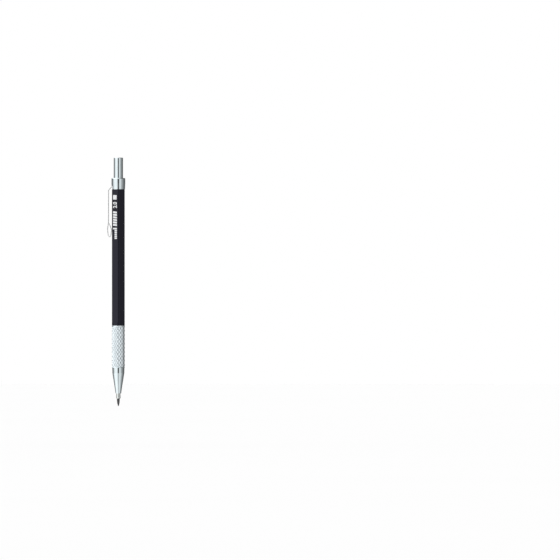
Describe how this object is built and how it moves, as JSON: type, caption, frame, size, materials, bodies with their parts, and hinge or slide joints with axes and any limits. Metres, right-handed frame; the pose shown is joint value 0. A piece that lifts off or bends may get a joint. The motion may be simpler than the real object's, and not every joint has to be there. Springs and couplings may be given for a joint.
{
  "type": "lead holder",
  "caption": "Push-button clutch lead holder with a black hexagonal barrel, knurled metal grip, smooth conical nose, gripping jaws, curled pocket clip and a lead pointer in the push button.",
  "frame": {"origin": "on the holder's axis, at the joint between the barrel's front end and the grip sleeve", "axes": "+Z along the axis from the lead's point to the push button, -X through the middle of the pocket clip, +Y completes a right-handed frame"},
  "size_m": [0.0108, 0.0084, 0.1484],
  "materials": {
    "barrel_black": "moulded, glossy, deep black",
    "bright_metal": "bright plated, turned",
    "grip_metal": "satin plated, fine diamond knurl",
    "clip_steel": "plated spring strip, satin",
    "spring_steel": "drawn wire, bright",
    "brass": "turned and drawn, plain",
    "jaw_metal": "nickel plated brass, turned",
    "graphite": "polished graphite lead, dark grey",
    "pointer_plastic": "moulded, fine grain",
    "blade_steel": "ground edge",
    "print_white": "pad printed ink"
  },
  "bodies": {
    "holder": {"nose_cone": "bright_metal", "grip_sleeve": "grip_metal", "grip_coupling": "brass", "barrel": "barrel_black", "tube_guide": "brass", "tail_collar": "bright_metal", "clip_band": "clip_steel", "spring_washer": "clip_steel", "return_spring": "spring_steel"},
    "clip": {"clip_arm": "clip_steel"},
    "clutch": {"lead_tube": "brass", "clutch_shank": "brass", "spring_collar": "brass"},
    "jaw_1": {"clutch_jaw_1": "jaw_metal"},
    "jaw_2": {"clutch_jaw_2": "jaw_metal"},
    "jaw_3": {"clutch_jaw_3": "jaw_metal"},
    "lead": {"lead": "graphite"},
    "button": {"push_button": "bright_metal", "button_bush": "brass", "pointer_body": "pointer_plastic", "pointer_blade": "blade_steel"}
  },
  "joints": [
    {"name": "button_press", "type": "slide", "parent": "holder", "child": "clutch", "axis": [0, 0, -1], "range_m": [0, 0.0035], "stiffness_N_per_m": 490, "springref_m": -0.012, "deforming": ["return_spring"]},
    {"name": "jaw_1_open", "type": "hinge", "parent": "clutch", "child": "jaw_1", "pos_m": [0.00114, 0.00066, -0.02758], "axis": [0.5, -0.866, 0], "range_deg": [0, 0.7]},
    {"name": "jaw_2_open", "type": "hinge", "parent": "clutch", "child": "jaw_2", "pos_m": [-0.00114, 0.00066, -0.02758], "axis": [0.5, 0.866, 0], "range_deg": [0, 0.7]},
    {"name": "jaw_3_open", "type": "hinge", "parent": "clutch", "child": "jaw_3", "pos_m": [0, -0.00132, -0.02758], "axis": [-1, 0, 0], "range_deg": [0, 0.7]},
    {"name": "lead_feed", "type": "slide", "parent": "clutch", "child": "lead", "axis": [0, 0, -1], "range_m": [-0.0045, 0.02]},
    {"name": "button_pull", "type": "slide", "parent": "clutch", "child": "button", "axis": [0, 0, 1], "range_m": [0, 0.006]},
    {"name": "clip_flex", "type": "hinge", "parent": "holder", "child": "clip", "pos_m": [-0.00375, 0, 0.0829], "axis": [0, 1, 0], "range_deg": [0, 6], "stiffness_Nm_per_rad": 1.4, "springref_deg": -1.15}
  ],
  "couplings": [
    {"joint": "jaw_1_open", "follows": "button_press", "rad_per_m": 3.4},
    {"joint": "jaw_2_open", "follows": "button_press", "rad_per_m": 3.4},
    {"joint": "jaw_3_open", "follows": "button_press", "rad_per_m": 3.4}
  ]
}
